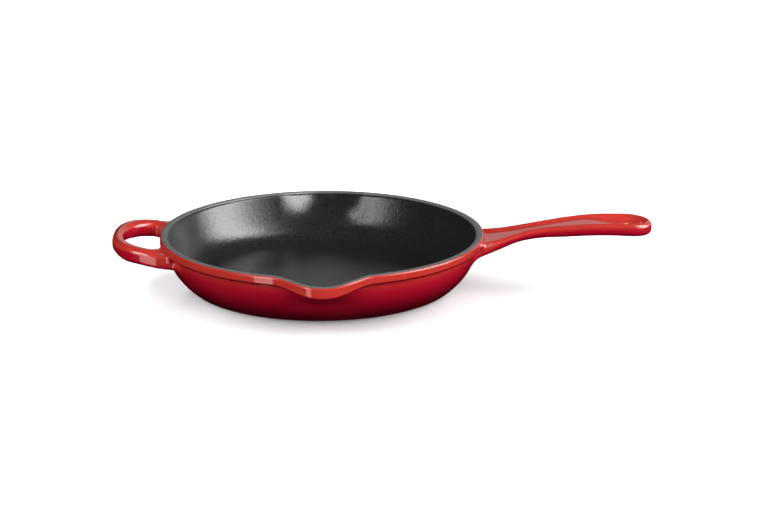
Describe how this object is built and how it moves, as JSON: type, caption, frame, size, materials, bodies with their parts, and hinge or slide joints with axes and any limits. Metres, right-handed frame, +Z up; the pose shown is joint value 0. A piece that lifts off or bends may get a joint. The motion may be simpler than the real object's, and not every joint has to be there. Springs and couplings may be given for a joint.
{
  "type": "cast iron skillet",
  "caption": "Enamelled cast iron skillet with a long dished handle, a loop helper handle, a thickened rim lip and pouring spouts.",
  "frame": {"origin": "centre of the flat base, on the surface that the pan stands on", "axes": "+X along the long handle, -X towards the helper handle, -Y and +Y through the spouts, +Z up out of the pan"},
  "size_m": [0.4368, 0.2882, 0.0506],
  "materials": {
    "cast_iron": "as cast, under the enamel",
    "red_enamel": "high gloss vitreous enamel, darker towards the base",
    "black_enamel": "satin, finely pebbled vitreous enamel",
    "rim_coat": "thin semi-matt ground coat",
    "base_coat": "matt vitreous enamel"
  },
  "bodies": {
    "root": {"pan_casting": "cast_iron", "main_handle_casting": "cast_iron", "helper_handle_casting": "cast_iron", "exterior_enamel": "red_enamel", "main_handle_enamel": "red_enamel", "helper_handle_enamel": "red_enamel", "interior_enamel": "black_enamel", "rim_coat": "rim_coat", "base_coat": "base_coat"}
  },
  "joints": []
}
